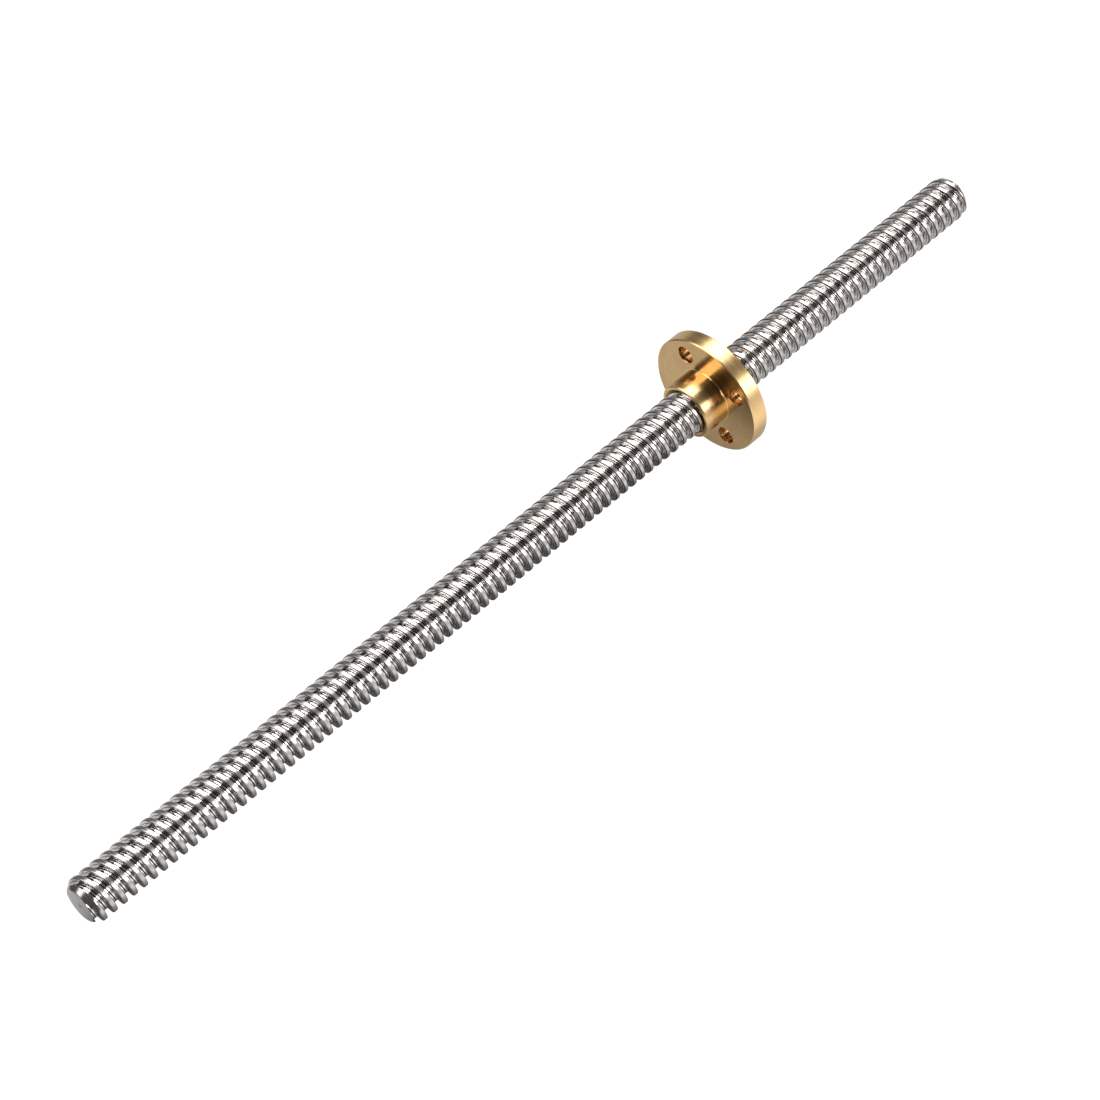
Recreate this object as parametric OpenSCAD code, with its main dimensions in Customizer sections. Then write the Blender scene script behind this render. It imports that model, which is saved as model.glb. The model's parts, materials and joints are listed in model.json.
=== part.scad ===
// Lead screw with a flanged nut.
// A round bar with a two-start, right-hand trapezoidal thread from end to end, and a turned
// flanged nut that runs along it.
// The screw's axis is the X axis. The origin is the centre of the drive end's face, +X runs
// towards the free end and +Z is up. Lengths are in millimetres, angles in degrees.
// An angle around the screw is counted from +Y towards +Z.

/* [Thread] */
// Distance from one ridge to the next along the screw
pitch = 2; // [1.8:0.1:2.4]
// Number of separate ridges that wind side by side
starts = 2; // [1:1:4]
// Width of the flat top of a ridge
crest_width = 0.78; // [0.7:0.02:0.84]
// Included angle between the two flanks of a ridge
thread_angle = 30; // [28:1:32]
// Place along the screw of the middle of one ridge, on the +Y side
crest_place = 1.43; // [0:0.01:2]
// Flat facets around one turn of thread
facets = 16; // [8:2:16]

/* [Screw] */
// Length of the screw
screw_length = 200; // [190:10:210]
// Diameter over the ridges
screw_major_d = 8; // [7.9:0.05:8.1]
// Diameter at the bottom of the groove
screw_minor_d = 5.7; // [5.5:0.1:5.9]
// Diameter of the flat face at each end, inside the bevel
end_face_d = 6; // [5.95:0.05:6.4]

/* [Nut body] */
// Distance from the drive end's face to the flange's near face
flange_place = 136.6; // [40:0.1:160]
// Diameter of the flange
flange_d = 22; // [21:0.5:26]
// Thickness of the flange
flange_thickness = 3; // [2.5:0.25:4]
// Diameter of both bosses
boss_d = 10.1; // [10:0.1:11]
// Length of the boss on the drive side of the flange
long_boss = 5; // [4:0.1:10]
// Length of the boss on the free side of the flange
short_boss = 1.5; // [1:0.1:3]
// Bevel on the nut's outer edges
edge_bevel = 0.2; // [0.1:0.05:0.4]

/* [Nut holes] */
// Number of screw holes in the flange
hole_count = 4; // [3:1:6]
// Diameter of each hole
hole_d = 3.1; // [3.0:0.1:3.4]
// Diameter of the circle that the holes lie on
hole_circle_d = 16; // [15.5:0.5:17]
// Angle of the first hole around the screw
hole_turn = 52.7; // [0:0.1:90]
// Bevel at each mouth of a hole
hole_bevel = 0.1; // [0.05:0.05:0.2]

/* [Nut thread] */
// Gap between the screw's ridge and the bottom of the nut's groove
crest_gap = 0.2; // [0.1:0.05:0.25]
// Gap between the nut's ridge and the bottom of the screw's groove
root_gap = 0.15; // [0.1:0.05:0.2]
// Gap on each flank, along the axis
flank_gap = 0.05; // [0.03:0.01:0.08]
// Bevel at each mouth of the nut's bore
mouth_bevel = 0.25; // [0.1:0.05:0.4]

/* [Hidden] */
$fn = 96;
lead = pitch * starts;
slope = tan(thread_angle / 2);
crest_r = screw_major_d / 2;
root_r = screw_minor_d / 2;
// The nut's thread is the screw's, opened by the three gaps.
nut_groove_r = crest_r + crest_gap;
nut_ridge_r = root_r + root_gap;
nut_groove_width = crest_width + 2 * (flank_gap - crest_gap * slope);
boss_r = boss_d / 2;
flange_r = flange_d / 2;
nut_start = flange_place - long_boss;
flange_back = flange_place + flange_thickness;
nut_end = flange_back + short_boss;
// A cutting shape runs this far past the solid that it cuts.
overrun = 0.5;
// A thread edge nearer than this to an end's plane is left out.
sliver = 0.03;
// A tooth's outline has four corners: both ends of its top and of the groove after it.
corners = 4;

// A point at a distance along the axis, a radius and an angle around it.
function around(x, r, angle) = [x, r * cos(angle), r * sin(angle)];

// Sum of the first items of a list.
function sum_of(list, items) = items == 0 ? 0 : list[items - 1] + sum_of(list, items - 1);

// A closed threaded bar between two planes, made as a ring of half-plane outlines.
// Corner number c sits on ray number j at corner_x(j, c), so a corner winds into a helix, and a
// full turn later it has become the corner that is `turn_corners` further on.
// Each end is a flat face with a 45 degree bevel that starts at radius end_r.
module threaded_bar(x_from, x_to, top_r, bottom_r, top_width, end_r) {
    flank = (top_r - bottom_r) * slope;
    bottom_width = pitch - top_width - 2 * flank;
    steps = [0, top_width, top_width + flank, top_width + flank + bottom_width];
    radii = [top_r, top_r, bottom_r, bottom_r];
    turn_corners = corners * starts;
    turns_before = floor((x_from - crest_place) / pitch) - starts - 1;
    base = crest_place - top_width / 2 + pitch * turns_before;
    corner_count = corners * (ceil((x_to - x_from) / pitch) + 2 * starts + 4);

    function corner_x(j, c) = base + pitch * floor(c / corners) + steps[c % corners] + lead * j / facets;
    function bevel_r(x) = end_r + min(x - x_from, x_to - x);
    function corner_r(j, c) = min(radii[c % corners], bevel_r(corner_x(j, c)));

    // The first and last corner of each ray that lie inside the bar.
    inside = [
        for (j = [0 : facets - 1])
            [
                for (c = [0 : corner_count])
                    if (corner_x(j, c) > x_from + sliver && corner_x(j, c) < x_to - sliver) c
            ]
    ];
    first = [for (ray = inside) ray[0]];
    last = [for (ray = inside) ray[len(ray) - 1]];

    // Radius of the thread where ray j crosses an end plane, between corner c and the one before.
    function crossing_r(j, c, x) =
        let (before = corner_x(j, c - 1), share = (x - before) / (corner_x(j, c) - before))
        min(end_r, radii[(c - 1) % corners] * (1 - share) + radii[c % corners] * share);

    function ray_points(j) =
        let (angle = 360 * j / facets)
        concat(
            [around(x_from, crossing_r(j, first[j], x_from), angle)],
            [for (c = [first[j] : last[j]]) around(corner_x(j, c), corner_r(j, c), angle)],
            [around(x_to, crossing_r(j, last[j] + 1, x_to), angle)]
        );

    sizes = [for (j = [0 : facets - 1]) last[j] - first[j] + 3];
    offsets = [for (j = [0 : facets - 1]) sum_of(sizes, j)];

    // Numbers of a ray's points. Ray number `facets` is ray 0, one full turn on.
    function low(j) = offsets[j % facets];
    function high(j) = offsets[j % facets] + sizes[j % facets] - 1;
    function shift(j) = j == facets ? turn_corners : 0;
    function first_of(j) = first[j % facets] - shift(j);
    function last_of(j) = last[j % facets] - shift(j);
    function corner(j, c) = low(j) + 1 + c - first_of(j);

    points = [for (j = [0 : facets - 1]) each ray_points(j)];
    faces = [
        [for (j = [0 : facets - 1]) low(j)],
        [for (j = [facets - 1 : -1 : 0]) high(j)],
        for (j = [0 : facets - 1]) each [
            for (c = [first_of(j) : last_of(j + 1) - 1]) each [
                [corner(j, c), corner(j, c + 1), corner(j + 1, c + 1)],
                [corner(j, c), corner(j + 1, c + 1), corner(j + 1, c)]
            ],
            [low(j), corner(j, first_of(j)), corner(j + 1, first_of(j))],
            for (c = [first_of(j) - 1 : -1 : first_of(j + 1)])
                [low(j), corner(j + 1, c + 1), corner(j + 1, c)],
            [low(j), corner(j + 1, first_of(j + 1)), low(j + 1)],
            [high(j + 1), corner(j + 1, last_of(j + 1)), corner(j, last_of(j + 1))],
            for (c = [last_of(j + 1) : last_of(j) - 1])
                [high(j + 1), corner(j, c), corner(j, c + 1)],
            [high(j + 1), corner(j, last_of(j)), high(j)]
        ]
    ];
    polyhedron(points, faces, convexity = 10);
}

module lead_screw() {
    color([0.78, 0.77, 0.76])
        threaded_bar(0, screw_length, crest_r, root_r, crest_width, end_face_d / 2);
}

// Turns a shape drawn around the Z axis so that it stands around the X axis at a place.
module along_x(x) {
    translate([x, 0, 0]) rotate([90, 0, 90]) children();
}

// A round bar with a 45 degree bevel that widens it at both ends, for cutting a bevelled hole.
module bevelled_cutter(x_from, x_to, r, bevel) {
    along_x(x_from - overrun) cylinder(r = r, h = x_to - x_from + 2 * overrun);
    flare(x_from, r, bevel, 1);
    flare(x_to, r, bevel, -1);
}

// The bevel at one mouth: a cone that opens outwards through the plane at x.
module flare(x, r, bevel, way) {
    along_x(x) mirror([0, 0, way < 0 ? 1 : 0]) translate([0, 0, -overrun])
        cylinder(r1 = r + bevel + overrun, r2 = r, h = bevel + overrun);
}

// The turned blank: the flange and both bosses in one piece, with bevelled outer edges.
module nut_blank() {
    along_x(0) rotate_extrude() polygon([
        [0, nut_start],
        [boss_r - edge_bevel, nut_start],
        [boss_r, nut_start + edge_bevel],
        [boss_r, flange_place],
        [flange_r - edge_bevel, flange_place],
        [flange_r, flange_place + edge_bevel],
        [flange_r, flange_back - edge_bevel],
        [flange_r - edge_bevel, flange_back],
        [boss_r, flange_back],
        [boss_r, nut_end - edge_bevel],
        [boss_r - edge_bevel, nut_end],
        [0, nut_end]
    ]);
}

module flange_holes() {
    for (i = [0 : hole_count - 1])
        rotate([hole_turn + 360 * i / hole_count, 0, 0]) translate([0, hole_circle_d / 2, 0])
            bevelled_cutter(flange_place, flange_back, hole_d / 2, hole_bevel);
}

module flange_nut() {
    color([0.83, 0.66, 0.36]) difference() {
        nut_blank();
        flange_holes();
        threaded_bar(
            nut_start - overrun, nut_end + overrun,
            nut_groove_r, nut_ridge_r, nut_groove_width, nut_groove_r
        );
        flare(nut_start, nut_groove_r, mouth_bevel, 1);
        flare(nut_end, nut_groove_r, mouth_bevel, -1);
    }
}

lead_screw();
flange_nut();
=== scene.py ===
"""The looks of a lead screw and its flanged brass nut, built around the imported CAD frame.

Shapes are worked out in millimetres and turned into metres when a mesh is made. Materials, lights
and the camera are in metres. The screw's axis is X. An angle around the screw is counted from +Y
towards +Z.
"""

import json
import math

import bpy
import numpy as np
from mathutils import Matrix, Vector


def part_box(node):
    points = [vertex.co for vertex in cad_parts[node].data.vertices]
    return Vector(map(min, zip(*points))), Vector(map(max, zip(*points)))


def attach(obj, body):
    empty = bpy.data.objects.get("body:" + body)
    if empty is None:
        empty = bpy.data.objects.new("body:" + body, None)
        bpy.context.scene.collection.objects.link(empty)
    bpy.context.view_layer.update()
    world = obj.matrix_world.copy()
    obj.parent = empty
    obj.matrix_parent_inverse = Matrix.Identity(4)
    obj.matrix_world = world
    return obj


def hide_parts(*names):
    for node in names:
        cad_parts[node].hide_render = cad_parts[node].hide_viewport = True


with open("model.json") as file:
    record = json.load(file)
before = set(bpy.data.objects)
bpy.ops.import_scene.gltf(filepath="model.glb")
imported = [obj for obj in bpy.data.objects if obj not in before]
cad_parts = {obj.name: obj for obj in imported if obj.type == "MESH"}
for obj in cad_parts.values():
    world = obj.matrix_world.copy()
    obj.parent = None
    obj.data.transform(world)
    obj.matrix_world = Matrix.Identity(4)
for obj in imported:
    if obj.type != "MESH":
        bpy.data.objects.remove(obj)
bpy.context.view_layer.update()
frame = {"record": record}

MM = 0.001

# Thread, the same as in the CAD source.
PITCH = 2.0
STARTS = 2
LEAD = PITCH * STARTS
CREST_WIDTH = 0.78
FLANK_SLOPE = math.tan(math.radians(15))
CREST_PLACE = 1.43
ROOT_R = 2.85
END_FACE_R = 3.0
GROOVE_GAP = 0.2
RIDGE_GAP = 0.15
FLANK_GAP = 0.05
MOUTH_BEVEL = 0.25

# Rounding of the thread's edges: along the screw's crests, and everywhere else.
CREST_ROUND = 0.2
FINE_ROUND = 0.06

# Nut body, the same as in the CAD source.
FLANGE_THICKNESS = 3.0
EDGE_BEVEL = 0.2
HOLE_TURN = 52.7
HOLE_BEVEL = 0.1

# The fillet between the long boss and the flange, and how far the middle of the flange's rounded
# back edge lies in from both faces.
FILLET_R = 0.12
BACK_EDGE_SAG = 0.06

# How far the mouth's cones run on below the nut's ridges, and cutters run past what they cut.
CONE_OVERRUN = 0.1
CUTTER_OVERRUN = 0.5

# How finely the curved shapes are divided.
SCREW_RAYS = 60
NUT_RAYS = 120
HOLE_SIDES = 48
CREST_STEPS = 3
FINE_STEPS = 2
FILLET_STEPS = 3

# Points of a ray that lie closer together than MERGE become one. Distances along two rays that
# differ by less than SAME_S count as equal. A thread that stands less than SAME_R out of the bevel
# counts as under it.
MERGE = 0.004
SAME_S = 0.0001
SAME_R = 0.0001

# Places in each piece's list of materials. Every other face has the first one, number 0.
SCREW_BEVEL = 1
SCREW_END = 2
NUT_HOLE = 1

# Edges of the nut that turn by more than this, in degrees, stay crisp.
CRISP_ANGLE = 34

# The thread's map, in millimetres over its surface: how far apart the strips of the two starts
# lie in U, and the length of one turn in V.
STRIP_STEP = 10.0
TURN_LENGTH = 8 * math.pi

# Fine dark lines along the groove, painted shade and painted dark reflections at the root's corners and
# on the flanks:
# distance from the middle of the crest, measured over the surface, and half width.
GROOVE_SHADE_LINES = ((0.86, 0.055), (1.40, 0.08), (1.78, 0.09))

# The dark line along the crest's edge on the drive side, painted shade for the dark reflection on the
# crest's rounded edge: the same two measures.
EDGE_SHADE_LINE = (0.38, 0.16)

# Stretches along the screw, in metres, over which its lay gets livelier and its painted edge shade
# darker.
LAY_FADE = (0.03, 0.1)
EDGE_SHADE_FADE = (0.02, 0.11)

# Long soft lights: name, the two angles between which the screw sees the light, counted from -Y
# up to +Z, its reach along X and its radiance.
PANEL_DISTANCE = 1.0
PANELS = (
    ("panel_top", (91, 131), (-0.15, 1.3), 4.5),
    ("panel_back", (110, 160), (-2.2, -0.2), 2.5),
    ("panel_front", (19, 43), (-0.15, 1.35), 4.5),
    ("panel_low", (0, 15), (-0.15, 1.8), 0.5),
)

# The dark card before the drive end, a painted dark reflection that only reflections see, in
# millimetres: its place along X and its reach in Y and Z.
CARD_X = -800
CARD_Y = (-2400, 80)
CARD_Z = (900, 2200)
CARD_COLOUR = (1.0, 0.93, 0.88)
CARD_BRIGHTNESS = 0.03

# Brightness of the world: as a light, to the camera and in reflections.
WORLD_LIGHT = 0.3
WORLD_SEEN = 1.0
WORLD_REFLECTED = 0.14

# Brightness of the floor in reflections, at places across the screw in millimetres: painted light that
# the floor gives off as a glow, with a painted shadow under the screw. FLOOR_DROP is taken off it. The
# table covers FLOOR_SPAN and stays below FLOOR_TOP.
FLOOR_LEVELS = (
    (-98, 0.75),
    (-77, 0.95),
    (-42, 1.2),
    (-29, 1.28),
    (-22, 1.1),
    (-17, 0.65),
    (-13, 0.42),
    (-6, 0.32),
    (-2.5, 0.1),
    (1.5, 0.1),
    (5, 0.5),
    (10, 0.7),
    (22, 0.7),
    (45, 0.2),
    (98, 0.1),
)
FLOOR_DROP = 0.1
FLOOR_SPAN = 200
FLOOR_TOP = 2
FLOOR_GREY = 0.08
FLOOR_REACH = 6000

# Painted shade: before the drive end the table's brightness fades to a share of itself over this stretch
# of X.
FLOOR_SHADE_SPAN = (-0.022, -0.003)
FLOOR_SHADE_SHARE = 0.1

# Painted light: from the nut on, the floor is at least this bright to all but the camera. It gets there
# over this stretch of X.
NUT_PAINTED_GLOW = 0.42
NUT_GLOW_RISE = (0.124, 0.132)

CAMERA_PLACE = (-0.13086, -0.22479, 0.42251)
CAMERA_TURN = (36.83, 0, -45.72)
CAMERA_LENS = 108
CAMERA_SENSOR = 36
CAMERA_CLIP = (0.05, 20)

record = frame["record"]
mounts = {mount["name"]: mount for mount in record["mounts"]}
screw_low, screw_high = (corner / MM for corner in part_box("lead_screw"))
nut_low, nut_high = (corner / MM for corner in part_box("flange_nut"))
screw_r = min(screw_high.y, screw_high.z)
flange_r = min(nut_high.y, nut_high.z, -nut_low.y, -nut_low.z)
flange_x = mounts["flange_screws"]["pos_m"][0] / MM
hole_circle_r = mounts["flange_screws"]["dims"]["pcd_mm"] / 2
hole_count = mounts["flange_screws"]["dims"]["count"]
hole_r = mounts["flange_screws"]["dims"]["hole_r_mm"]
boss_r = mounts["boss_register"]["dims"]["r_mm"]

# The turned bevel at each end of the screw, softened where it meets the end face and the crests:
# distance in from the end, and radius.
end_bevel = (
    (0, END_FACE_R - 0.06),
    (0.02, END_FACE_R - 0.02),
    (0.07, END_FACE_R + 0.05),
    (0.9, screw_r - 0.12),
    (1.02, screw_r - 0.035),
    (1.2, screw_r),
)


# ---------------------------------------------------------------- shapes


def rounded_outline(corners, radii, steps):
    """An open outline in (x, r) with its inner corners rounded.

    Each corner with a radius becomes an arc of `steps` pieces. Returns rows of x, r and the two
    parts of the normal, which points to the left of the way along.
    """
    rows = []
    for i, (x, r) in enumerate(corners):
        here = np.array([x, r])
        before = here - corners[i - 1] if i > 0 else None
        after = np.array(corners[i + 1]) - here if i + 1 < len(corners) else None
        if before is None or after is None or not radii[i]:
            way = before if after is None else after
            way = way / np.linalg.norm(way)
            rows.append([x, r, -way[1], way[0]])
            continue
        before = before / np.linalg.norm(before)
        after = after / np.linalg.norm(after)
        turn = math.atan2(before[0] * after[1] - before[1] * after[0], before @ after)
        side = np.array([-before[1], before[0]])
        start = here - before * radii[i] * math.tan(abs(turn) / 2)
        centre = start + side * radii[i] * math.copysign(1, turn)
        for k in range(steps[i] + 1):
            a = turn * k / steps[i]
            across = side[0] * math.cos(a) - side[1] * math.sin(a)
            outwards = side[0] * math.sin(a) + side[1] * math.cos(a)
            normal = np.array([across, outwards])
            point = centre - normal * radii[i] * math.copysign(1, turn)
            rows.append([point[0], point[1], normal[0], normal[1]])
    return np.array(rows)


def thread_outline(top_r, bottom_r, top_width, top_round, top_steps):
    """One pitch of thread, from the middle of one groove to the middle of the next."""
    flank = (top_r - bottom_r) * FLANK_SLOPE
    half_bottom = (PITCH - top_width - 2 * flank) / 2
    corners = [
        (0, bottom_r),
        (half_bottom, bottom_r),
        (half_bottom + flank, top_r),
        (half_bottom + flank + top_width, top_r),
        (PITCH - half_bottom, bottom_r),
        (PITCH, bottom_r),
    ]
    radii = [0, FINE_ROUND, top_round, top_round, FINE_ROUND, 0]
    steps = [0, FINE_STEPS, top_steps, top_steps, FINE_STEPS, 0]
    return rounded_outline(corners, radii, steps)


def arc_lengths(outline):
    """Distance along the outline from its first point to each of its points."""
    pieces = np.hypot(np.diff(outline[:, 0]), np.diff(outline[:, 1]))
    return np.concatenate([[0], np.cumsum(pieces)])


def thread_ray(outline, limit, x_from, x_to, shift, pick):
    """One ray of a threaded surface: each point's x, radius and thread normal in (x, r)."""
    period = outline[:-1]
    first = math.floor((x_from - shift) / PITCH) - 1
    last = math.ceil((x_to - shift) / PITCH) + 1
    thread_x = np.concatenate([period[:, 0] + PITCH * c for c in range(first, last)]) + shift
    thread_r = np.tile(period[:, 1], last - first)
    limit_x, limit_r = limit.T
    inside = thread_x[(thread_x > x_from) & (thread_x < x_to)]
    grid = np.unique(np.round(np.concatenate([inside, limit_x]), 6))
    # A point is added wherever the thread crosses the limit.
    gap = np.interp(grid, thread_x, thread_r) - np.interp(grid, limit_x, limit_r)
    cross = np.where(gap[:-1] * gap[1:] < 0)[0]
    step = grid[cross + 1] - grid[cross]
    crossing = grid[cross] + step * gap[cross] / (gap[cross] - gap[cross + 1])
    x = np.unique(np.concatenate([grid, crossing]))
    # Points too close together become one, and the last point stays on the end's plane.
    x = x[np.concatenate([[True], np.diff(x) > MERGE])]
    x[-1] = x_to
    radius = pick(np.interp(x, thread_x, thread_r), np.interp(x, limit_x, limit_r))
    place = np.mod(x - shift, PITCH)
    normal_x = np.interp(place, outline[:, 0], outline[:, 2])
    normal_r = np.interp(place, outline[:, 0], outline[:, 3])
    return x, radius, normal_x, normal_r


def threaded_surface(outline, limit, rays, pick):
    """A helical surface, where `pick` chooses between the thread and a turned limit.

    The limit is rows of x and radius, and the surface ends at its first and last x. Each ray is a
    row of points at one angle. Returns points, each point's thread normal, faces as made by
    join_rays, and the points of both end rings.
    """
    x_from, x_to = limit[0, 0], limit[-1, 0]
    rise = LEAD / (2 * math.pi)
    points, normals, rows = [], [], []
    for j in range(rays):
        angle = 2 * math.pi * j / rays
        cos, sin = math.cos(angle), math.sin(angle)
        shift = CREST_PLACE - PITCH / 2 + LEAD * j / rays
        ray = thread_ray(outline, limit, x_from, x_to, shift, pick)
        rows.append((len(points), ray[0] - shift))
        for x, r, n_x, n_r in zip(*ray):
            points.append((x, r * cos, r * sin))
            normals.append((n_x * r, n_r * r * cos + n_x * rise * sin, n_r * r * sin - n_x * rise * cos))
    ends = [[start for start, _ in rows], [start + len(s) - 1 for start, s in rows]]
    return points, normals, join_rays(rows), ends


def join_rays(rows):
    """Faces between neighbouring rays, as lists of corners: point, s and turn.

    A row is a ray's first point and its points' s, the distance along the axis with the helix
    unwound. The rays are joined in order of s, so a crest stays one clean strip of faces all the
    way along.
    """
    faces = []
    for j, (a_start, a_s) in enumerate(rows):
        b_start, b_s = rows[(j + 1) % len(rows)]
        if j == len(rows) - 1:
            b_s = b_s - LEAD
        a_turn, b_turn = j / len(rows), (j + 1) / len(rows)
        a = b = 0
        while a < len(a_s) - 1 or b < len(b_s) - 1:
            next_a = a_s[a + 1] if a < len(a_s) - 1 else math.inf
            next_b = b_s[b + 1] if b < len(b_s) - 1 else math.inf
            corners = [(a_start + a, a_s[a], a_turn), (b_start + b, b_s[b], b_turn)]
            if next_b - next_a < SAME_S:
                b += 1
                corners.insert(1, (b_start + b, next_b, b_turn))
            if next_a - next_b < SAME_S:
                a += 1
                corners.insert(1, (a_start + a, next_a, a_turn))
            faces.append(corners)
    return faces


def new_object(name, points, faces, materials):
    """A mesh object from points in millimetres."""
    mesh = bpy.data.meshes.new(name)
    mesh.from_pydata([tuple(c * MM for c in p) for p in points], [], faces)
    for material in materials:
        mesh.materials.append(material)
    obj = bpy.data.objects.new(name, mesh)
    bpy.context.scene.collection.objects.link(obj)
    return obj


def make_screw(materials):
    """The threaded bar, with a turned bevel and a sawn face at each end."""
    x_from, x_to = screw_low.x, screw_high.x
    near_limit = [(x_from + depth, r) for depth, r in end_bevel]
    far_limit = [(x_to - depth, r) for depth, r in reversed(end_bevel)]
    limit = np.array(near_limit + far_limit)
    points, normals, thread, ends = threaded_surface(screw_outline, limit, SCREW_RAYS, np.minimum)
    thread = [corners[::-1] for corners in thread]
    faces = [tuple(point for point, _, _ in corners) for corners in thread]
    for ring, x in zip(ends, (x_from, x_to)):
        centre = len(points)
        points.append((x, 0, 0))
        for here, after in zip(ring, ring[1:] + ring[:1]):
            faces.append((after, here, centre) if x == x_from else (here, after, centre))
    obj = new_object("lead_screw_bar", points, faces, materials)
    dress_screw(obj.data, np.array(points), normals, thread, limit)
    return obj


def dress_screw(mesh, points, normals, thread, limit):
    """Gives the screw's faces their materials, normals and map.

    On the thread, U runs across it and V along the helix. The faces after the thread's are the
    two end faces, near one first.
    """
    arc = arc_lengths(screw_outline)
    loop_normals = np.zeros((len(mesh.loops), 3))
    uv = np.zeros((len(mesh.loops), 2))
    for polygon in mesh.polygons:
        if polygon.index >= len(thread):
            polygon.material_index = SCREW_END
            way = -1 if polygon.index < len(thread) + SCREW_RAYS else 1
            for loop, point in zip(polygon.loop_indices, polygon.vertices):
                loop_normals[loop] = (way, 0, 0)
                uv[loop] = points[point][1:]
            continue
        corners = thread[polygon.index]
        middle_s = sum(s for _, s, _ in corners) / len(corners)
        middle_x = sum(points[point][0] for point, _, _ in corners) / len(corners)
        groove = math.floor(middle_s / PITCH)
        slope = bevel_slope(limit, middle_x, middle_s - groove * PITCH)
        if slope is not None:
            polygon.material_index = SCREW_BEVEL
        for loop, (point, s, turn) in zip(polygon.loop_indices, corners):
            if slope is None:
                loop_normals[loop] = normals[point]
            else:
                radial = points[point][1:] / np.linalg.norm(points[point][1:])
                loop_normals[loop] = (-slope, *radial)
            u = np.interp(s - groove * PITCH, screw_outline[:, 0], arc)
            uv[loop] = (u + STRIP_STEP * (groove % STARTS), TURN_LENGTH * (groove // STARTS + turn))
    loop_normals /= np.linalg.norm(loop_normals, axis=1)[:, None]
    mesh.uv_layers.new(name="Helix").data.foreach_set("uv", uv.ravel())
    mesh.polygons.foreach_set("use_smooth", [True] * len(mesh.polygons))
    mesh.normals_split_custom_set([tuple(normal) for normal in loop_normals])


def bevel_slope(limit, x, place):
    """Slope of the bevel at x, or None where the thread lies under it at that place in its pitch."""
    limit_x, limit_r = limit.T
    if min(x - limit_x[0], limit_x[-1] - x) > end_bevel[-1][0]:
        return None
    thread_r = np.interp(place, screw_outline[:, 0], screw_outline[:, 1])
    if np.interp(x, limit_x, limit_r) >= thread_r - SAME_R:
        return None
    after = min(max(np.searchsorted(limit_x, x), 1), len(limit_x) - 1)
    return (limit_r[after] - limit_r[after - 1]) / (limit_x[after] - limit_x[after - 1])


def turned_shell(outline, rays):
    """Points and faces of an outline in (x, r) turned around X."""
    points = []
    for j in range(rays):
        angle = 2 * math.pi * j / rays
        points += [(x, r * math.cos(angle), r * math.sin(angle)) for x, r in outline]
    count = len(outline)
    faces = []
    for j in range(rays):
        a, b = count * j, count * ((j + 1) % rays)
        for k in range(count - 1):
            faces.append((a + k, b + k, b + k + 1, a + k + 1))
    return points, faces


def nut_bore():
    """The nut's threaded bore with a bevel at both mouths: points, faces and both end rings."""
    x_from, x_to = nut_low.x, nut_high.x
    groove_r = screw_r + GROOVE_GAP
    ridge_r = ROOT_R + RIDGE_GAP
    groove_width = CREST_WIDTH + 2 * (FLANK_GAP - GROOVE_GAP * FLANK_SLOPE)
    outline = thread_outline(groove_r, ridge_r, groove_width, FINE_ROUND, FINE_STEPS)
    mouth_r = groove_r + MOUTH_BEVEL
    cone = MOUTH_BEVEL + (groove_r - ridge_r)
    cone_r = ridge_r - CONE_OVERRUN
    limit = np.array(
        [(x_from, mouth_r), (x_from + cone, cone_r), (x_to - cone, cone_r), (x_to, mouth_r)]
    )
    points, _, thread, ends = threaded_surface(outline, limit, NUT_RAYS, np.maximum)
    faces = [tuple(point for point, _, _ in corners) for corners in thread]
    return points, faces, ends


def nut_outline(back_x):
    """The nut's turned outline in (x, r), from the mouth on the drive side around to the far one."""
    outline = [(nut_low.x, boss_r - EDGE_BEVEL), (nut_low.x + EDGE_BEVEL, boss_r)]
    for step in range(FILLET_STEPS + 1):
        angle = math.pi / 2 * step / FILLET_STEPS
        short_of_flange = FILLET_R * (1 - math.sin(angle))
        above_boss = FILLET_R * (1 - math.cos(angle))
        outline.append((flange_x - short_of_flange, boss_r + above_boss))
    outline += [
        (flange_x, flange_r - EDGE_BEVEL),
        (flange_x + EDGE_BEVEL, flange_r),
        (back_x - EDGE_BEVEL, flange_r),
        (back_x - BACK_EDGE_SAG, flange_r - BACK_EDGE_SAG),
        (back_x, flange_r - EDGE_BEVEL),
        (back_x, boss_r),
        (nut_high.x - EDGE_BEVEL, boss_r),
        (nut_high.x, boss_r - EDGE_BEVEL),
    ]
    return outline


def make_nut(materials):
    """The nut: a turned body with bevelled holes and a threaded bore."""
    back_x = flange_x + FLANGE_THICKNESS
    points, faces, (near_ring, far_ring) = nut_bore()
    outline = nut_outline(back_x)
    shell_points, shell_faces = turned_shell(outline, NUT_RAYS)
    base = len(points)
    points += shell_points
    faces += [tuple(base + i for i in face) for face in shell_faces]
    # The flat rings around both mouths join the bore to the shell.
    for j in range(NUT_RAYS):
        k = (j + 1) % NUT_RAYS
        near_j = base + len(outline) * j
        near_k = base + len(outline) * k
        far_j = near_j + len(outline) - 1
        far_k = near_k + len(outline) - 1
        faces.append((near_ring[j], near_ring[k], near_k, near_j))
        faces.append((far_j, far_k, far_ring[k], far_ring[j]))
    obj = new_object("flange_nut_body", points, [tuple(reversed(f)) for f in faces], materials)
    for i in range(hole_count):
        cutter = make_hole_cutter(i, flange_x, back_x, materials)
        modifier = obj.modifiers.new("hole", "BOOLEAN")
        modifier.operation = "DIFFERENCE"
        modifier.solver = "EXACT"
        modifier.object = cutter
        apply_modifier(obj, modifier)
        bpy.data.objects.remove(cutter)
    finish_turned(obj)
    return obj


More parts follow.
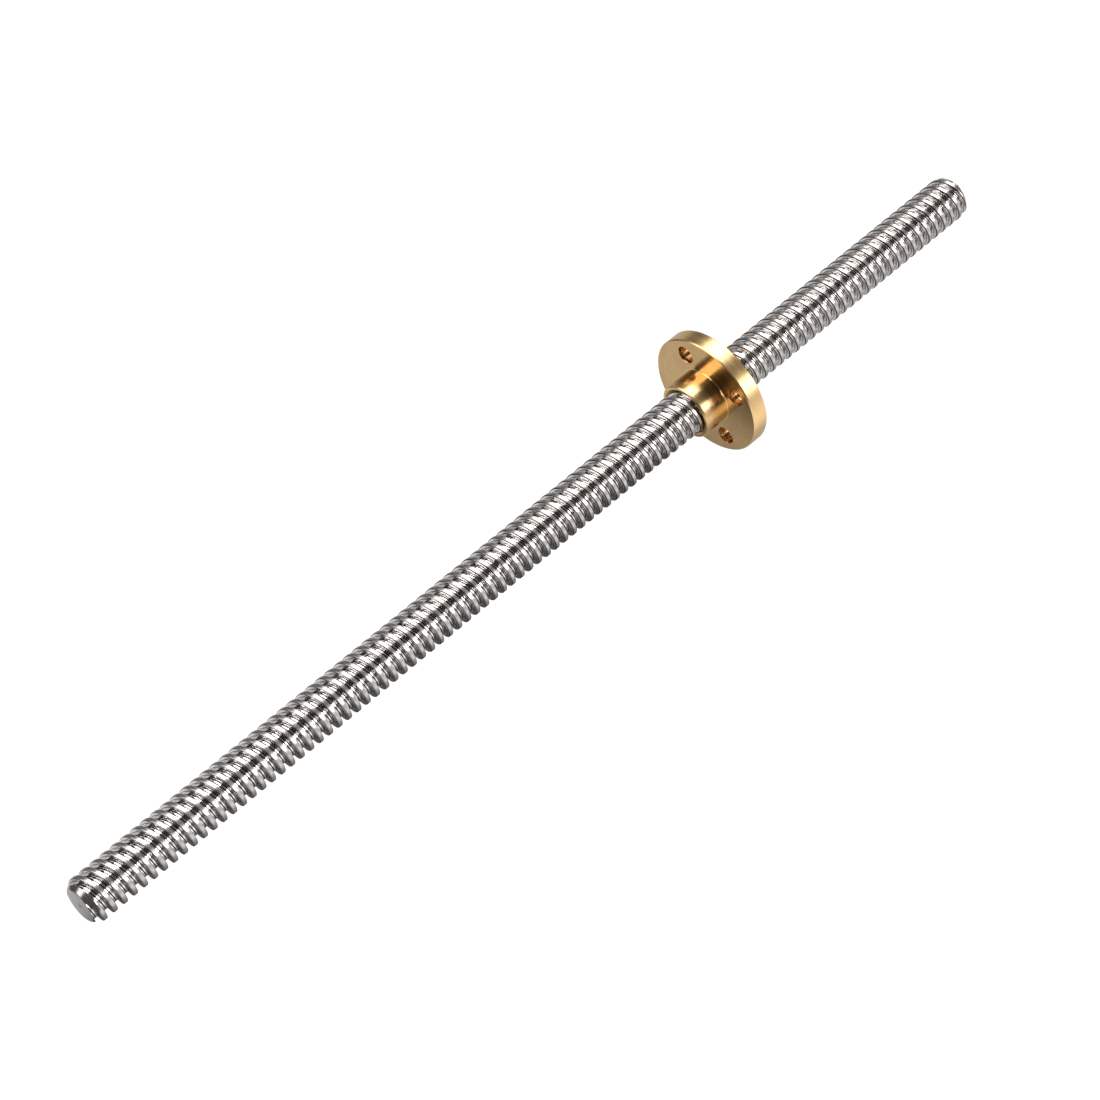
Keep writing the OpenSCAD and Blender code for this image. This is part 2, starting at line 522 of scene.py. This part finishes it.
def make_hole_cutter(i, x_from, x_to, materials):
    """A bar with a bevel that widens it at both ends, to cut hole number i."""
    angle = math.radians(HOLE_TURN + 360 * i / hole_count)
    wide_r = hole_r + HOLE_BEVEL + CUTTER_OVERRUN
    outline = [
        (x_from - CUTTER_OVERRUN, wide_r),
        (x_from + HOLE_BEVEL, hole_r),
        (x_to - HOLE_BEVEL, hole_r),
        (x_to + CUTTER_OVERRUN, wide_r),
    ]
    points, faces = turned_shell(outline, HOLE_SIDES)
    count = len(outline)
    faces.append(tuple(count * j for j in reversed(range(HOLE_SIDES))))
    faces.append(tuple(count * j + count - 1 for j in range(HOLE_SIDES)))
    y, z = hole_circle_r * math.cos(angle), hole_circle_r * math.sin(angle)
    points = [(p[0], p[1] + y, p[2] + z) for p in points]
    cutter = new_object(f"cutter_{i}", points, faces, materials)
    for polygon in cutter.data.polygons:
        polygon.material_index = NUT_HOLE
    return cutter


def finish_turned(obj):
    """Smooth round surfaces with crisp edges."""
    mesh = obj.data
    mesh.polygons.foreach_set("use_smooth", [True] * len(mesh.polygons))
    mesh.set_sharp_from_angle(angle=math.radians(CRISP_ANGLE))
    modifier = obj.modifiers.new("weighted", "WEIGHTED_NORMAL")
    modifier.keep_sharp = True
    apply_modifier(obj, modifier)


def apply_modifier(obj, modifier):
    bpy.context.view_layer.objects.active = obj
    bpy.ops.object.modifier_apply(modifier=modifier.name)


# ---------------------------------------------------------------- materials


class Nodes:
    """A short way to build the nodes of a material or a world."""

    def __init__(self, owner):
        owner.use_nodes = True
        self.owner = owner
        self.tree = owner.node_tree

    def add(self, kind, inputs=None, **settings):
        node = self.tree.nodes.new(kind)
        for key, value in settings.items():
            setattr(node, key, value)
        for key, value in (inputs or {}).items():
            self.put(node.inputs[key], value)
        return node

    def put(self, socket, value):
        if isinstance(value, bpy.types.NodeSocket):
            self.tree.links.new(value, socket)
        else:
            socket.default_value = value

    def place(self):
        """The place on the object, in metres."""
        return self.add("ShaderNodeTexCoord").outputs["Object"]

    def axes(self, vector):
        return self.add("ShaderNodeSeparateXYZ", {"Vector": vector}).outputs

    def math(self, operation, *values):
        node = self.add("ShaderNodeMath", operation=operation)
        for socket, value in zip(node.inputs, values):
            self.put(socket, value)
        return node.outputs[0]

    def product(self, a, b):
        return self.math("MULTIPLY", a, b)

    def total(self, a, b):
        return self.math("ADD", a, b)

    def distance(self, a, b):
        return self.math("ABSOLUTE", self.math("SUBTRACT", a, b))

    def vector(self, operation, inputs):
        return self.add("ShaderNodeVectorMath", inputs, operation=operation).outputs[0]

    def scaled(self, vector, scale):
        return self.vector("MULTIPLY", {0: vector, 1: scale})

    def noise(self, vector, scale, detail, roughness):
        node = self.add(
            "ShaderNodeTexNoise",
            {"Vector": vector, "Scale": scale, "Detail": detail, "Roughness": roughness},
        )
        return node.outputs["Fac"]

    def remap(self, value, low, high, to_low, to_high):
        node = self.add(
            "ShaderNodeMapRange",
            {"Value": value, "From Min": low, "From Max": high, "To Min": to_low, "To Max": to_high},
        )
        return node.outputs["Result"]

    def mix(self, factor, a, b):
        """Colour a, blended towards colour b."""
        node = self.add("ShaderNodeMix", data_type="RGBA")
        self.put(node.inputs[0], factor)
        for socket, value in ((node.inputs[6], a), (node.inputs[7], b)):
            self.put(socket, (*value, 1) if isinstance(value, tuple) else value)
        return node.outputs[2]

    def bump(self, height, strength, distance, normal=None):
        node = self.add("ShaderNodeBump", {"Height": height, "Strength": strength, "Distance": distance})
        if normal is not None:
            self.put(node.inputs["Normal"], normal)
        return node.outputs["Normal"]

    def lean_around(self, normal, amount):
        """The normal, leaned around the screw's axis by a small amount."""
        axes = self.axes(self.place())
        back = self.product(axes[2], -1.0)
        around = self.add("ShaderNodeCombineXYZ", {"Y": back, "Z": axes[1]}).outputs[0]
        around = self.vector("NORMALIZE", {0: around})
        step = self.vector("SCALE", {0: around, "Scale": amount})
        leaned = self.vector("ADD", {0: normal, 1: step})
        return self.vector("NORMALIZE", {0: leaned})

    def metal(self, colour, roughness, normal):
        """Finishes a metal, and returns its material."""
        shader = self.tree.nodes["Principled BSDF"]
        self.put(shader.inputs["Metallic"], 1)
        self.put(shader.inputs["Base Color"], colour)
        self.put(shader.inputs["Roughness"], roughness)
        self.put(shader.inputs["Normal"], normal)
        return self.owner


def new_material(name):
    return Nodes(bpy.data.materials.new(name))


def thread_shade_lines(n, across, from_middle, sway, along):
    """Where the thread's painted shade lines lie: thin ones in the groove, and one along the crest's
    edge.
    """
    wandering = n.total(from_middle, n.remap(sway, 0.3, 0.7, -0.03, 0.03))
    place, half_width = EDGE_SHADE_LINE
    off_line = n.distance(across, thread_arc / 2 - place)
    edge_line = n.remap(off_line, half_width * 0.5, half_width, 1.0, 0.0)
    lines = n.product(edge_line, n.remap(along, *EDGE_SHADE_FADE, 0.35, 0.95))
    for place, half_width in GROOVE_SHADE_LINES:
        off_line = n.distance(wandering, place)
        line = n.remap(off_line, half_width * 0.6, half_width * 1.1, 1.0, 0.0)
        lines = n.math("MAXIMUM", lines, line)
    return lines


def thread_steel():
    """Rolled stainless thread: satin crests, grooves painted lighter as painted light for the light that
    bounces between the flanks, and fine dark lines of painted shade along the helix.
    """
    n = new_material("thread_steel")
    helix = n.add("ShaderNodeUVMap", uv_map="Helix").outputs["UV"]
    across = n.math("MODULO", n.axes(helix)[0], STRIP_STEP)
    along = n.axes(n.place())[0]
    from_middle = n.distance(across, thread_arc / 2)
    crest = n.remap(from_middle, CREST_WIDTH / 2 - 0.03, CREST_WIDTH / 2 + 0.03, 1.0, 0.0)
    streaks = n.noise(n.scaled(helix, (7, 0.25, 1)), 1.0, 3.0, 0.6)
    fine = n.noise(n.scaled(helix, (16, 0.5, 1)), 1.0, 2.0, 0.5)
    spots = n.noise(n.scaled(helix, (2.2, 1.3, 1)), 1.0, 4.0, 0.6)
    patch = n.noise(n.scaled(helix, (0.3, 0.12, 1)), 1.0, 2.0, 0.5)
    sway = n.noise(n.scaled(helix, (0.4, 0.35, 1)), 1.0, 2.0, 0.5)
    lay = n.noise(n.scaled(helix, (5, 0.3, 1)), 1.0, 3.0, 0.62)
    streaked = n.remap(streaks, 0.35, 0.65, 0.0, 1.0)
    crest_colour = n.mix(streaked, (0.50, 0.465, 0.45), (0.60, 0.56, 0.545))
    # Painted light: the groove is coloured much lighter than the crest, for the light that bounces
    # between its flanks.
    groove_colour = n.mix(streaked, (0.80, 0.775, 0.76), (0.91, 0.885, 0.87))
    colour = n.mix(crest, groove_colour, crest_colour)
    dull = n.product(n.remap(spots, 0.56, 0.68, 0.0, 1.0), crest)
    colour = n.mix(n.product(dull, 0.3), colour, (0.33, 0.30, 0.28))
    # Painted shade: the dark lines in the groove and along the crest's edge.
    colour = n.mix(thread_shade_lines(n, across, from_middle, sway, along), colour, (0.045, 0.038, 0.035))
    rough = n.total(n.remap(patch, 0.3, 0.7, 0.08, 0.12), n.remap(fine, 0.3, 0.7, -0.01, 0.03))
    rough = n.total(rough, n.product(crest, 0.17))
    rough = n.total(rough, n.product(dull, 0.1))
    strength = n.product(n.remap(crest, 0.0, 1.0, 0.2, 0.1), n.remap(along, *LAY_FADE, 0.5, 1.0))
    normal = n.bump(streaks, strength, 0.00004)
    normal = n.bump(fine, strength, 0.00002, normal)
    lean = n.product(n.math("SUBTRACT", lay, 0.5), n.remap(crest, 0.0, 1.0, 0.3, 0.16))
    lean = n.product(lean, n.remap(along, *LAY_FADE, 0.4, 1.0))
    return n.metal(colour, rough, n.lean_around(normal, lean))


def turned_steel():
    """The bevel: polished, with rings that run around the axis."""
    n = new_material("turned_steel")
    place = n.place()
    rings = n.noise(n.scaled(place, (14000, 120, 120)), 1.0, 2.0, 0.5)
    cloud = n.noise(place, 900.0, 3.0, 0.6)
    colour = n.mix(n.remap(cloud, 0.35, 0.65, 0.0, 1.0), (0.42, 0.395, 0.38), (0.52, 0.495, 0.475))
    return n.metal(colour, n.remap(rings, 0.3, 0.7, 0.12, 0.22), n.bump(rings, 0.3, 0.00002))


def sawn_steel():
    """The flat end face: duller, with shallow scratches, pits and a dark mark in the centre."""
    n = new_material("sawn_steel")
    place = n.place()
    dark = (0.28, 0.25, 0.23)
    scratches = n.noise(n.scaled(place, (1, 9000, 900)), 1.0, 3.0, 0.6)
    pits = n.noise(place, 2500.0, 3.0, 0.6)
    scratched = n.remap(scratches, 0.35, 0.65, 0.0, 1.0)
    colour = n.mix(scratched, (0.62, 0.595, 0.575), (0.92, 0.895, 0.87))
    colour = n.mix(n.remap(pits, 0.6, 0.72, 0.0, 0.5), colour, dark)
    beside_axis = n.scaled(place, (0, 1, 1))
    off_axis = n.add("ShaderNodeVectorMath", {0: beside_axis}, operation="LENGTH").outputs["Value"]
    centre = n.remap(off_axis, 0.2 * MM, 0.7 * MM, 1.0, 0.0)
    colour = n.mix(n.product(centre, n.remap(pits, 0.4, 0.55, 0.2, 0.9)), colour, dark)
    return n.metal(colour, n.remap(scratches, 0.3, 0.7, 0.32, 0.5), n.bump(pits, 0.3, 0.00003))


def turned_brass():
    """Turned brass: satin on the rim and the boss's front, and painted a little darker on the flat faces
    as painted shade for the dimmer reflections they catch.
    """
    n = new_material("turned_brass")
    place = n.place()
    axes = n.axes(place)
    radius = n.math("SQRT", n.total(n.math("POWER", axes[1], 2.0), n.math("POWER", axes[2], 2.0)))
    ringed = n.add("ShaderNodeCombineXYZ", {"X": axes[0], "Y": radius}).outputs[0]
    rings = n.noise(n.scaled(ringed, (9000, 9000, 1)), 1.0, 3.0, 0.6)
    broad = n.noise(n.scaled(ringed, (1500, 1500, 1)), 1.0, 2.0, 0.5)
    cloud = n.noise(place, 260.0, 3.0, 0.55)
    on_rim = n.remap(radius, (flange_r - 0.25) * MM, (flange_r - 0.2) * MM, 0.0, 1.0)
    on_boss = n.remap(radius, (boss_r + 0.1) * MM, (boss_r + 0.3) * MM, 1.0, 0.0)
    on_face = n.math("SUBTRACT", n.math("SUBTRACT", 1.0, on_rim), on_boss)
    boss_front = n.remap(axes[0], nut_low.x * MM, flange_x * MM, 0.16, 0.0)
    colour = n.mix(n.remap(cloud, 0.35, 0.65, 0.0, 1.0), (0.73, 0.49, 0.23), (0.82, 0.555, 0.27))
    # Painted shade: the flat faces are coloured darker than the rim and the boss.
    painted_shade_colour = n.scaled(colour, (0.78, 0.77, 0.76))
    colour = n.mix(n.product(on_face, n.remap(broad, 0.3, 0.7, 0.75, 1.0)), colour, painted_shade_colour)
    rough = n.total(n.remap(broad, 0.3, 0.7, 0.11, 0.15), n.remap(rings, 0.3, 0.7, -0.02, 0.03))
    rough = n.total(rough, n.product(on_rim, 0.15))
    rough = n.total(rough, n.product(boss_front, on_boss))
    return n.metal(colour, rough, n.bump(rings, 0.25, 0.00002))


def hole_brass_painted_shade():
    """The holes' walls: coppery and much darker than the nut's brass, painted shade inside the holes,
    with the drill's rings, whose dark bands are painted shade too.
    """
    n = new_material("hole_brass_painted_shade")
    rings = n.noise(n.scaled(n.place(), (7000, 150, 150)), 1.0, 2.0, 0.5)
    # Painted shade: the walls are coloured far darker than the nut's brass, darkest in the drill's
    # rings.
    colour = n.mix(n.remap(rings, 0.4, 0.65, 0.0, 1.0), (0.16, 0.06, 0.02), (0.80, 0.46, 0.18))
    return n.metal(colour, n.remap(rings, 0.3, 0.7, 0.12, 0.3), n.bump(rings, 0.5, 0.00005))


# ---------------------------------------------------------------- studio


def panel(name, angles, reach, radiance):
    """A long soft light along X that faces the screw."""
    middle = math.radians(sum(angles) / 2)
    light = bpy.data.lights.new(name, "AREA")
    light.shape = "RECTANGLE"
    light.size = reach[1] - reach[0]
    light.size_y = 2 * PANEL_DISTANCE * math.tan(math.radians(angles[1] - angles[0]) / 2)
    light.energy = radiance * math.pi * light.size * light.size_y
    obj = bpy.data.objects.new(name, light)
    bpy.context.scene.collection.objects.link(obj)
    away = Vector((0, -math.cos(middle), math.sin(middle)))
    obj.location = Vector((sum(reach) / 2, 0, 0)) + away * PANEL_DISTANCE
    along = Vector((1, 0, 0))
    obj.rotation_euler = Matrix((along, away.cross(along), away)).transposed().to_euler()
    obj.visible_camera = False


def only_glow(owner, glow_kind, output_kind, colour):
    """Gives a world or a material a plain glow, and returns its nodes and the glow."""
    n = Nodes(owner)
    n.tree.nodes.clear()
    glow = n.add(glow_kind, {"Color": (*colour, 1)})
    n.add(output_kind, {"Surface": glow.outputs[0]})
    return n, glow


def painted_reflection_card():
    """A dark upright card, square to X: a painted dark reflection that only reflections see, and that
    casts no shadow.
    """
    corners = [
        (CARD_X, CARD_Y[0], CARD_Z[0]),
        (CARD_X, CARD_Y[1], CARD_Z[0]),
        (CARD_X, CARD_Y[1], CARD_Z[1]),
        (CARD_X, CARD_Y[0], CARD_Z[1]),
    ]
    material = bpy.data.materials.new("painted_reflection_card")
    n, glow = only_glow(material, "ShaderNodeEmission", "ShaderNodeOutputMaterial", CARD_COLOUR)
    n.put(glow.inputs["Strength"], CARD_BRIGHTNESS)
    card = new_object("painted_reflection_card", corners, [(0, 1, 2, 3)], [material])
    card.visible_camera = False
    card.visible_diffuse = False
    card.visible_shadow = False


def make_world():
    """White to the camera, pale grey as a light, and dim in reflections."""
    world = bpy.data.worlds.new("studio")
    bpy.context.scene.world = world
    n, glow = only_glow(world, "ShaderNodeBackground", "ShaderNodeOutputWorld", (1, 1, 1))
    rays = n.add("ShaderNodeLightPath").outputs
    brightness = n.math("MULTIPLY_ADD", rays["Is Camera Ray"], WORLD_SEEN - WORLD_LIGHT, WORLD_LIGHT)
    darkening = WORLD_REFLECTED - WORLD_LIGHT
    brightness = n.math("MULTIPLY_ADD", rays["Is Glossy Ray"], darkening, brightness)
    n.put(glow.inputs["Strength"], brightness)


def floor_profile(n, across):
    """The brightness from FLOOR_LEVELS as a share of FLOOR_TOP. `across` runs from 0 to 1."""
    node = n.add("ShaderNodeFloatCurve", {"Value": across})
    curve = node.mapping.curves[0]
    for y, level in FLOOR_LEVELS:
        curve.points.new(y / FLOOR_SPAN + 0.5, level / FLOOR_TOP)
    # The two points that a new curve starts with are dropped.
    curve.points.remove(curve.points[0])
    curve.points.remove(curve.points[-1])
    for point in curve.points:
        point.handle_type = "VECTOR"
    node.mapping.update()
    return node.outputs["Value"]


def make_floor():
    """A floor that is white to the camera, and that reflections see in glowing bands along the screw:
    painted light, with a painted shadow under the screw and before its drive end.
    """
    n = new_material("floor")
    axes = n.axes(n.place())
    across = n.remap(axes["Y"], -FLOOR_SPAN / 2 * MM, FLOOR_SPAN / 2 * MM, 0.0, 1.0)
    fade = n.remap(axes["X"], *FLOOR_SHADE_SPAN, FLOOR_SHADE_SHARE * FLOOR_TOP, FLOOR_TOP)
    level = n.math("MULTIPLY_ADD", floor_profile(n, across), fade, -FLOOR_DROP)
    near_nut = n.remap(axes["X"], *NUT_GLOW_RISE, 0.0, NUT_PAINTED_GLOW)
    raised = n.math("MAXIMUM", level, near_nut)
    seen = n.add("ShaderNodeLightPath").outputs["Is Camera Ray"]
    glow = n.add("ShaderNodeMix", {0: seen, 2: raised, 3: 1.0}).outputs[0]
    shader = n.tree.nodes["Principled BSDF"]
    n.put(shader.inputs["Base Color"], (FLOOR_GREY, FLOOR_GREY, FLOOR_GREY, 1))
    n.put(shader.inputs["Roughness"], 1)
    n.put(shader.inputs["Specular IOR Level"], 0)
    n.put(shader.inputs["Emission Color"], (1, 1, 1, 1))
    n.put(shader.inputs["Emission Strength"], glow)
    ways = ((-1, -1), (1, -1), (1, 1), (-1, 1))
    corners = [(x * FLOOR_REACH, y * FLOOR_REACH, nut_low.z) for x, y in ways]
    new_object("floor", corners, [(0, 1, 2, 3)], [n.owner])


def make_camera():
    data = bpy.data.cameras.new("camera")
    data.lens = CAMERA_LENS
    data.sensor_width = CAMERA_SENSOR
    data.clip_start, data.clip_end = CAMERA_CLIP
    camera = bpy.data.objects.new("camera", data)
    camera.location = CAMERA_PLACE
    camera.rotation_euler = [math.radians(a) for a in CAMERA_TURN]
    bpy.context.scene.collection.objects.link(camera)
    bpy.context.scene.camera = camera


screw_outline = thread_outline(screw_r, ROOT_R, CREST_WIDTH, CREST_ROUND, CREST_STEPS)
thread_arc = arc_lengths(screw_outline)[-1]
screw = make_screw([thread_steel(), turned_steel(), sawn_steel()])
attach(screw, "screw")
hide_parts("lead_screw")

nut = make_nut([turned_brass(), hole_brass_painted_shade()])
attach(nut, "nut")
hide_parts("flange_nut")

make_world()
make_floor()
make_camera()
for name, angles, reach, radiance in PANELS:
    panel(name, angles, reach, radiance)
painted_reflection_card()
bpy.context.scene.view_settings.view_transform = "Standard"
